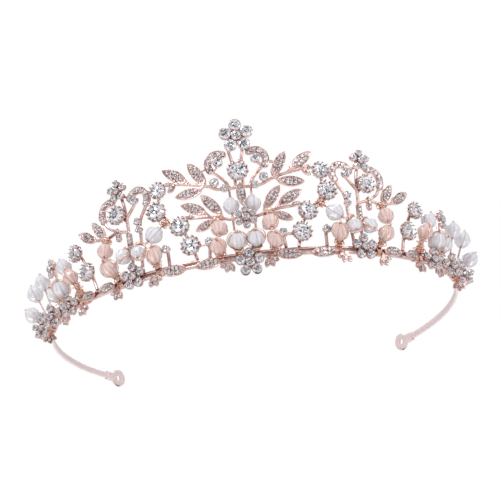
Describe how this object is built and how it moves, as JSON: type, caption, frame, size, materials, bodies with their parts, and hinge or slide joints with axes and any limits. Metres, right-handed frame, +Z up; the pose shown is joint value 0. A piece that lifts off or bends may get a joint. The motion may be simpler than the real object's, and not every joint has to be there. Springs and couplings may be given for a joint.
{
  "type": "bridal tiara",
  "caption": "Horseshoe head band with a floral front of wire stems, stone-set leaves and flowers, claw-set stones and threaded beads.",
  "frame": {"origin": "middle of the footprint on the surface that the tiara stands on, under its lowest petals and end loops", "axes": "+X to the right end of the band seen from the front, -Y out of the front, +Z up towards the top flower"},
  "size_m": [0.164, 0.1342, 0.0541],
  "materials": {
    "band_metal": "matte pale pink-beige coated band",
    "rose_gold": "polished rose gold plate",
    "crystal": "cut and foiled clear crystal",
    "clear_bead": "cut clear glass bead",
    "pink_bead": "cut blush pink glass bead"
  },
  "bodies": {
    "tiara": {"band": "band_metal", "right_eyelet": "band_metal", "left_eyelet": "band_metal", "right_crimp": "band_metal", "left_crimp": "band_metal", "rail_wires": "rose_gold", "rail_leaves": "rose_gold", "rail_stones": "crystal", "trefoil_buds": "rose_gold", "centre_frame": "rose_gold", "top_flower": "rose_gold", "middle_flower": "rose_gold", "base_flower": "rose_gold", "drop_leaf": "rose_gold", "centre_flower_stones": "crystal", "centre_pave_stones": "crystal", "centre_claw_cup": "rose_gold", "centre_claw_stone": "crystal", "bezel_cups": "rose_gold", "bezel_stones": "crystal", "right_upper_spray": "rose_gold", "left_upper_spray": "rose_gold", "right_lower_spray": "rose_gold", "left_lower_spray": "rose_gold", "right_spray_stones": "crystal", "left_spray_stones": "crystal", "right_stone_stem": "rose_gold", "left_stone_stem": "rose_gold", "claw_cups": "rose_gold", "claw_stones": "crystal", "right_side_frame": "rose_gold", "left_side_frame": "rose_gold", "right_side_flower": "rose_gold", "left_side_flower": "rose_gold", "right_side_base_flower": "rose_gold", "left_side_base_flower": "rose_gold", "side_flower_stones": "crystal", "side_pave_stones": "crystal", "right_end_vine": "rose_gold", "left_end_vine": "rose_gold", "end_flowers": "rose_gold", "end_flower_stones": "crystal", "right_bead_wires": "rose_gold", "left_bead_wires": "rose_gold", "clear_beads": "clear_bead", "pink_beads": "pink_bead"},
    "right_hanging_bead_body": {"right_hanging_bead": "clear_bead"},
    "left_hanging_bead_body": {"left_hanging_bead": "clear_bead"},
    "right_waist_bead_body": {"right_waist_bead": "clear_bead"},
    "left_waist_bead_body": {"left_waist_bead": "clear_bead"},
    "right_side_bead_body": {"right_side_bead": "pink_bead"},
    "left_side_bead_body": {"left_side_bead": "pink_bead"},
    "right_shoulder_bead_body": {"right_shoulder_bead": "clear_bead"},
    "left_shoulder_bead_body": {"left_shoulder_bead": "clear_bead"},
    "right_crest_bead_body": {"right_crest_bead": "clear_bead"},
    "left_crest_bead_body": {"left_crest_bead": "clear_bead"},
    "right_corner_bead_body": {"right_corner_bead": "clear_bead"},
    "left_corner_bead_body": {"left_corner_bead": "clear_bead"},
    "right_end_bead_body": {"right_end_bead": "clear_bead"},
    "left_end_bead_body": {"left_end_bead": "clear_bead"}
  },
  "joints": [
    {"name": "right_hanging_bead_spin", "type": "hinge", "parent": "tiara", "child": "right_hanging_bead_body", "pos_m": [0.00358, -0.06017, 0.0246], "axis": [0, 0, 1], "continuous": true},
    {"name": "left_hanging_bead_spin", "type": "hinge", "parent": "tiara", "child": "left_hanging_bead_body", "pos_m": [-0.00358, -0.06017, 0.0246], "axis": [0, 0, 1], "continuous": true},
    {"name": "right_waist_bead_spin", "type": "hinge", "parent": "tiara", "child": "right_waist_bead_body", "pos_m": [0.02991, -0.0574, 0.0189], "axis": [0.7199, -0.1099, -0.6854], "continuous": true},
    {"name": "left_waist_bead_spin", "type": "hinge", "parent": "tiara", "child": "left_waist_bead_body", "pos_m": [-0.02991, -0.0574, 0.0189], "axis": [-0.7199, -0.1099, -0.6854], "continuous": true},
    {"name": "right_side_bead_spin", "type": "hinge", "parent": "tiara", "child": "right_side_bead_body", "pos_m": [0.04723, -0.04758, 0.0187], "axis": [0.148, -0.4343, -0.8885], "continuous": true},
    {"name": "left_side_bead_spin", "type": "hinge", "parent": "tiara", "child": "left_side_bead_body", "pos_m": [-0.04723, -0.04758, 0.0187], "axis": [-0.148, -0.4343, -0.8885], "continuous": true},
    {"name": "right_shoulder_bead_spin", "type": "hinge", "parent": "tiara", "child": "right_shoulder_bead_body", "pos_m": [0.06323, -0.0312, 0.0205], "axis": [0.3841, 0.171, 0.9073], "continuous": true},
    {"name": "left_shoulder_bead_spin", "type": "hinge", "parent": "tiara", "child": "left_shoulder_bead_body", "pos_m": [-0.06323, -0.0312, 0.0205], "axis": [-0.3841, 0.171, 0.9073], "continuous": true},
    {"name": "right_crest_bead_spin", "type": "hinge", "parent": "tiara", "child": "right_crest_bead_body", "pos_m": [0.07321, -0.01364, 0.0215], "axis": [0.2487, 0.0594, 0.9667], "continuous": true},
    {"name": "left_crest_bead_spin", "type": "hinge", "parent": "tiara", "child": "left_crest_bead_body", "pos_m": [-0.07321, -0.01364, 0.0215], "axis": [-0.2487, 0.0594, 0.9667], "continuous": true},
    {"name": "right_corner_bead_spin", "type": "hinge", "parent": "tiara", "child": "right_corner_bead_body", "pos_m": [0.07707, -0.00667, 0.0199], "axis": [0.3738, 0.0756, 0.9244], "continuous": true},
    {"name": "left_corner_bead_spin", "type": "hinge", "parent": "tiara", "child": "left_corner_bead_body", "pos_m": [-0.07707, -0.00667, 0.0199], "axis": [-0.3738, 0.0756, 0.9244], "continuous": true},
    {"name": "right_end_bead_spin", "type": "hinge", "parent": "tiara", "child": "right_end_bead_body", "pos_m": [0.07882, -0.00402, 0.013], "axis": [0.7503, 0.0152, 0.6609], "continuous": true},
    {"name": "left_end_bead_spin", "type": "hinge", "parent": "tiara", "child": "left_end_bead_body", "pos_m": [-0.07882, -0.00402, 0.013], "axis": [-0.7503, 0.0152, 0.6609], "continuous": true}
  ]
}
